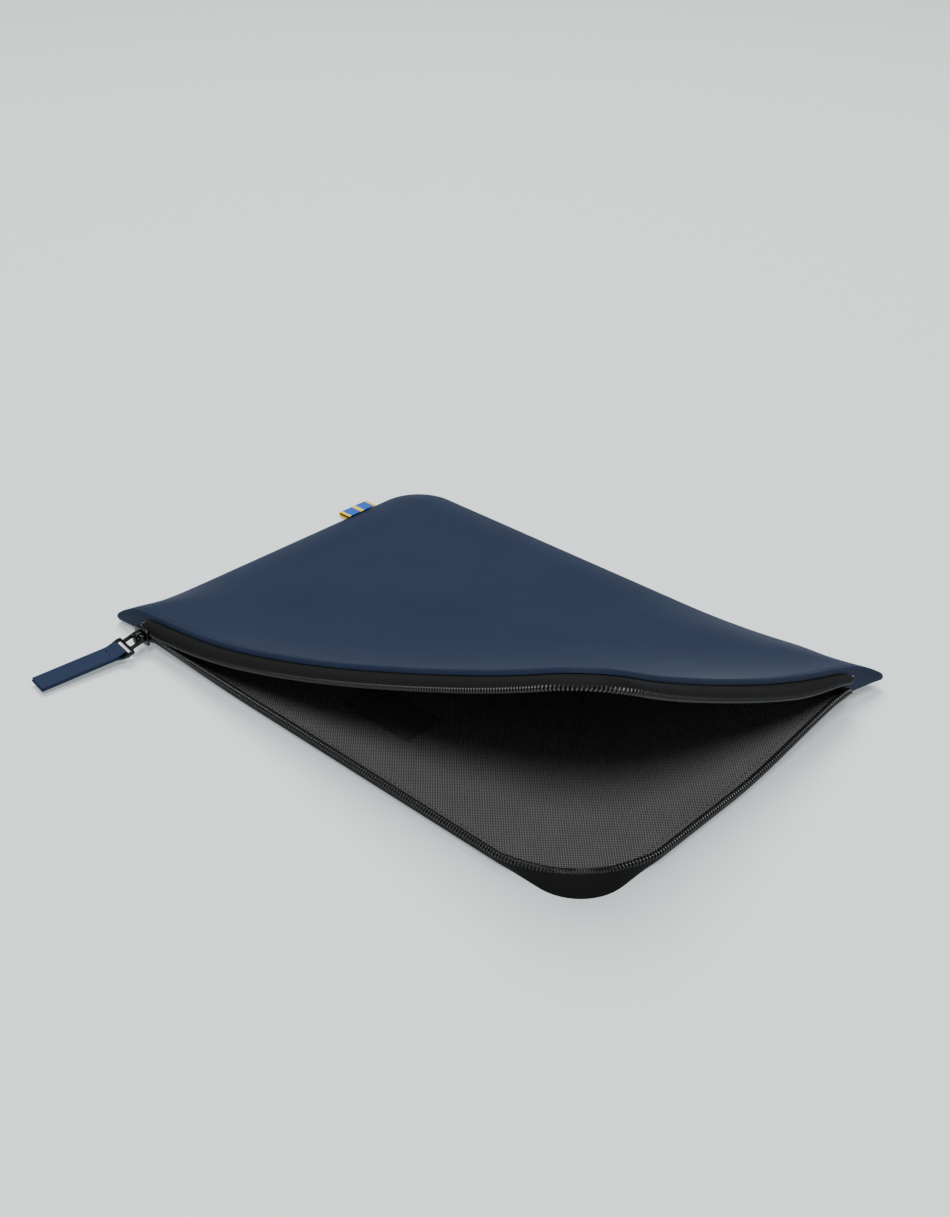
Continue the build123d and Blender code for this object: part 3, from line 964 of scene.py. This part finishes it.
def lip_stitches(span, _start, _end, pitch=2.6 * MM, sunk=0.24 * MM):
    bm = bmesh.new()
    for first, last in ZIP_SPANS[span]:
        count = int((last - first) / pitch)
        for i in range(count):
            t = first + (i + 0.5) * (last - first) / count
            place, ahead = (place_upper(step, -SEAM_INSET, -sunk) for step in (t, t + AHEAD))
            up = place_upper(t, -SEAM_INSET, AHEAD) - place
            add_stitch(bm, place, ahead, up)
    return make_piece(f"lip_stitches_{span}", bm, NAVY_THREAD)


def lining_stitches(pitch=3.4 * MM, inset=4.2 * MM):
    bm = bmesh.new()
    count = int(ZIP_LENGTH / pitch)
    for i in range(count):
        t = (i + 0.5) * ZIP_LENGTH / count
        points = []
        for step in (t, t + AHEAD):
            x, y = zip_line(step, -inset)
            points.append(laid(x, y, (SHELL_T + LINING_T) * pressed(x, y)))
        add_stitch(bm, *points, Vector((0, 0, 1)))
    return make_piece("lining_stitches", bm, GREY_THREAD, "sleeve")


spans_of(lip_stitches)
lining_stitches()
print("stitches along", round(ZIP_LENGTH / MM), "mm of lip and lining")

# %% [markdown]
# ## Label and ribbon
# The label is a blank rectangle of fine black weave, lying on the lining and sewn on four
# sides. A cloth simulation would only let it settle flat, so its slight puff is a formula.
# %% Label
label_low, label_high = (Vector(corner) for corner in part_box("inner_label"))
LINING_TOP = SHELL_T + LINING_T
LABEL_T = 0.45 * MM
LABEL_PUFF, LABEL_RIM = 0.25 * MM, 5 * MM


def label():
    columns = steps_between(label_low.x, label_high.x, 24)
    bm = keep_flat_places(grid(columns, steps_between(label_low.y, label_high.y, 12)))
    thicken(bm)
    for vertex in bm.verts:
        x, y, under = vertex.co
        rim = min(x - label_low.x, label_high.x - x, y - label_low.y, label_high.y - y)
        puff = LABEL_PUFF * smooth(rim, 0, LABEL_RIM)
        vertex.co = laid(x, y, LINING_TOP + (LABEL_T + puff if under > -0.5 else HAIR))
    return make_piece("label_cloth", bm, LABEL_CLOTH, "sleeve")


def label_threads(pitch=2.6 * MM, inset=1.5 * MM):
    bm = bmesh.new()
    z = LINING_TOP + 0.55 * MM
    low, high = label_low + Vector((inset, inset, 0)), label_high - Vector((inset, inset, 0))
    for axis, other in ((0, 1), (1, 0)):
        count = int((high[axis] - low[axis]) / pitch)
        for fixed in (low[other], high[other]):
            for i in range(count):
                place = Vector((fixed, fixed, 0))
                place[axis] = low[axis] + (i + 0.5) * (high[axis] - low[axis]) / count
                ahead = place.copy()
                ahead[axis] += AHEAD
                ends = (laid(point.x, point.y, z) for point in (place, ahead))
                add_stitch(bm, *ends, Vector((0, 0, 1)))
    return make_piece("label_threads", bm, BLACK_THREAD, "sleeve")


label_piece = label()
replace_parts(label_piece, "inner_label")
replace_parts(label_threads(), "label_stitching")

# %% [markdown]
# The ribbon is folded in two and caught in the closed edge. A strip that follows a path gives
# the fold its true length, so the stripes and ribs aren't stretched. The strap uses it again.
# %% Ribbon
loop_low, loop_high = (Vector(corner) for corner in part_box("ribbon_loop"))
RIBBON_T = 0.5 * MM
RIBBON_CAUGHT = 3 * MM  # it goes on inside the closed edge


def folded_strip(columns, rows, path, thickness):
    """A strip that follows a path of (place, normal, side) and keeps its flat coordinates."""
    bm = thicken(keep_flat_places(grid(columns, rows)))
    for vertex in bm.verts:
        s, w, under = vertex.co
        place, normal, side = path(s)
        vertex.co = place + side * w + normal * (-thickness if under < -0.5 else 0)
    return bm


def ribbon():
    width = loop_high.y - loop_low.y
    middle = (loop_low + loop_high) / 2
    radius = (loop_high.z - loop_low.z) / 2
    straight = loop_high.x - loop_low.x - radius + RIBBON_CAUGHT
    turn = pi * radius

    def path(s):
        side = Vector((0, 1, 0))
        if s < straight:
            x = loop_high.x + RIBBON_CAUGHT - s
            return Vector((x, middle.y, middle.z + radius)), Vector((0, 0, 1)), side
        if s < straight + turn:
            angle = (s - straight) / radius
            normal = Vector((-sin(angle), 0, cos(angle)))
            centre = Vector((loop_low.x + radius, middle.y, middle.z))
            return centre + normal * radius, normal, side
        x = loop_low.x + radius + (s - straight - turn)
        return Vector((x, middle.y, middle.z - radius)), Vector((0, 0, -1)), side

    columns = steps_between(0, 2 * straight + turn, 40)
    bm = folded_strip(columns, steps_between(-width / 2, width / 2, 12), path, RIBBON_T)
    obj = make_piece("ribbon", bm, RIBBON, "sleeve")
    return obj


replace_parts(ribbon(), "ribbon_loop")
print("ribbon", round((loop_high.y - loop_low.y) / MM), "mm wide")

# %% [markdown]
# ## Slider, link and strap
# The slider, its bridge and the link are cast and plated, so every edge is round. They could
# be modelled anew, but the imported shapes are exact, so each is copied, its triangles are merged
# to flat faces and its edges are beveled.
# %% Rounded copies of the metal parts
def rounded_copy(node, name, radius, finish, body):
    bm = bmesh.new()
    bm.from_mesh(frame["nodes"][node].data)
    bmesh.ops.remove_doubles(bm, verts=bm.verts, dist=0.005 * MM)
    bmesh.ops.dissolve_limit(bm, angle_limit=radians(1), verts=bm.verts, edges=bm.edges)
    closed = [edge for edge in bm.edges if len(edge.link_faces) == 2]
    sharp = [edge for edge in closed if edge.calc_face_angle() > radians(30)]
    bmesh.ops.bevel(
        bm, geom=sharp, offset=radius, offset_type="OFFSET", segments=3, profile=0.5,
        affect="EDGES", material=-1, clamp_overlap=True,
    )
    obj = make_piece(name, bm, finish, body)
    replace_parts(obj, node)
    return obj


rounded_copy("slider_body", "slider_casting", 0.35 * MM, METAL, "slider")
rounded_copy("slider_bridge", "slider_arch", 0.4 * MM, METAL, "slider")
rounded_copy("pull_link", "ring_link", 0.42 * MM, METAL, "link")
rounded_copy("strap_rivets", "strap_studs", 0.12 * MM, METAL, "strap")
print("slider, bridge, link and studs rounded")

# %% [markdown]
# The strap is one strip of the outer fabric, folded round the link's bar with its two ends
# level. The fold is an eye round the bar, a neck where the two halves come together, and two
# straight halves that lie on each other.
# %% Strap
strap_pin = Vector(joints["strap_swing"]["pos_m"])
strap_axis = Vector(joints["strap_swing"]["axis"])
STRAP_SIDE = -strap_axis
STRAP_OUT = Vector((STRAP_SIDE.y, -STRAP_SIDE.x, 0))
STRAP_DROOP = radians(3)
STRAP_WIDTH, STRAP_REACH, STRAP_T = 13 * MM, 48 * MM, 1.05 * MM
STRAP_GAP = 0.03 * MM  # between its two halves
EYE_R = 2.2 * MM
NECK, EYE_END = 5 * MM, 6 * MM  # distances from the bar where the halves begin and lie flat
OVERHANG, OVERHANG_REACH = 0.5 * MM, 30 * MM  # the lower half is a little longer


def strap():
    down = STRAP_OUT * cos(STRAP_DROOP) - Vector((0, 0, sin(STRAP_DROOP)))
    up = STRAP_OUT * sin(STRAP_DROOP) + Vector((0, 0, cos(STRAP_DROOP)))
    straight = STRAP_REACH - NECK
    neck = sqrt(NECK * NECK + (EYE_R - STRAP_T) ** 2)
    turn = pi * EYE_R
    total = 2 * (straight + neck) + turn

    def path(s):
        flip = 1
        if s > total / 2:
            s, flip = total - s, -1
        if s < straight + neck:
            d = STRAP_REACH - s if s < straight else NECK * (1 - (s - straight) / neck)
            h = STRAP_T + STRAP_GAP + (EYE_R - STRAP_T) * (1 - smooth(d, 0, EYE_END))
            place, normal = down * d + up * h * flip, up * flip
        else:
            angle = (s - straight - neck) / EYE_R
            normal = up * cos(angle) * flip - down * sin(angle)
            place = normal * EYE_R
        if flip < 0:
            place = place + down * OVERHANG * smooth(s, OVERHANG_REACH, 0)
        return strap_pin + place, normal, STRAP_SIDE

    edge_rows = [-STRAP_WIDTH / 2 + e for e in (0, 0.25 * MM, 0.7 * MM)]
    rows = edge_rows + steps_between(-5 * MM, 5 * MM, 6) + [-row for row in reversed(edge_rows)]
    bm = folded_strip(steps_between(0, total, 110), rows, path, STRAP_T)
    return make_piece("strap_leather", bm, STRAP_NAVY, "strap")


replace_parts(strap(), "pull_strap")
print("strap", STRAP_WIDTH / MM, "x", STRAP_REACH / MM, "mm")

# %% [markdown]
# ## Studio
# A pale plain floor, one large soft light behind and above and one in front give the soft
# shadow under the front edges, and light the lining only near the mouth. A brighter surround
# would light it all alike, so the floor glows a little instead to keep its shadows pale.
# %% Floor and surround
def studio():
    bm = bmesh.new()
    bmesh.ops.create_grid(bm, x_segments=1, y_segments=1, size=4.0)
    mat, tree, shader = material("pale_floor", (0.550, 0.582, 0.592), 0.9, specular=0.05)
    speck = noise(tree, object_place(tree), 40.0, 2.0)
    tone = tint(tree, speck, (0.547, 0.579, 0.589), (0.553, 0.585, 0.595))
    connect(tree, tone, shader.inputs["Base Color"])
    shader.inputs["Emission Color"].default_value = (0.548, 0.602, 0.618, 1)
    shader.inputs["Emission Strength"].default_value = 0.55
    mesh = bpy.data.meshes.new("floor")
    bm.to_mesh(mesh)
    bm.free()
    mesh.materials.append(mat)
    floor = bpy.data.objects.new("floor", mesh)
    bpy.context.collection.objects.link(floor)
    world = bpy.data.worlds.new("pale surround")
    world.use_nodes = True
    background = world.node_tree.nodes["Background"]
    background.inputs["Color"].default_value = (0.95, 0.98, 1.0, 1)
    background.inputs["Strength"].default_value = 0.2
    bpy.context.scene.world = world


# %% Lights and camera
def soft_light(name, place, target, size, power):
    data = bpy.data.lights.new(name, "AREA")
    data.shape, data.size, data.energy = "DISK", size, power
    lamp = bpy.data.objects.new(name, data)
    lamp.location = place
    lamp.rotation_euler = (Vector(target) - Vector(place)).to_track_quat("-Z", "Y").to_euler()
    bpy.context.collection.objects.link(lamp)


CAMERA_AT = Vector((0.4576, -0.4852, 0.4337))
HEADING, DOWN = radians(-43.692), radians(31.2)
LENS, SENSOR = 42.76, 36.0


def camera():
    data = bpy.data.cameras.new("camera")
    data.sensor_fit, data.sensor_height, data.lens = "VERTICAL", SENSOR, LENS
    data.clip_start = 0.01
    obj = bpy.data.objects.new("camera", data)
    look = Vector((sin(HEADING) * cos(DOWN), cos(HEADING) * cos(DOWN), -sin(DOWN)))
    obj.location = CAMERA_AT
    obj.rotation_euler = look.to_track_quat("-Z", "Y").to_euler()
    bpy.context.collection.objects.link(obj)
    bpy.context.scene.camera = obj


studio()
soft_light("key", (-1.0, 0.9, 3.6), (0, 0, 0), 2.4, 195)
soft_light("fill", (1.3, -1.5, 3.05), (0, 0, 0), 1.2, 98)
camera()
print("camera at", tuple(CAMERA_AT), "with a", LENS, "mm lens")
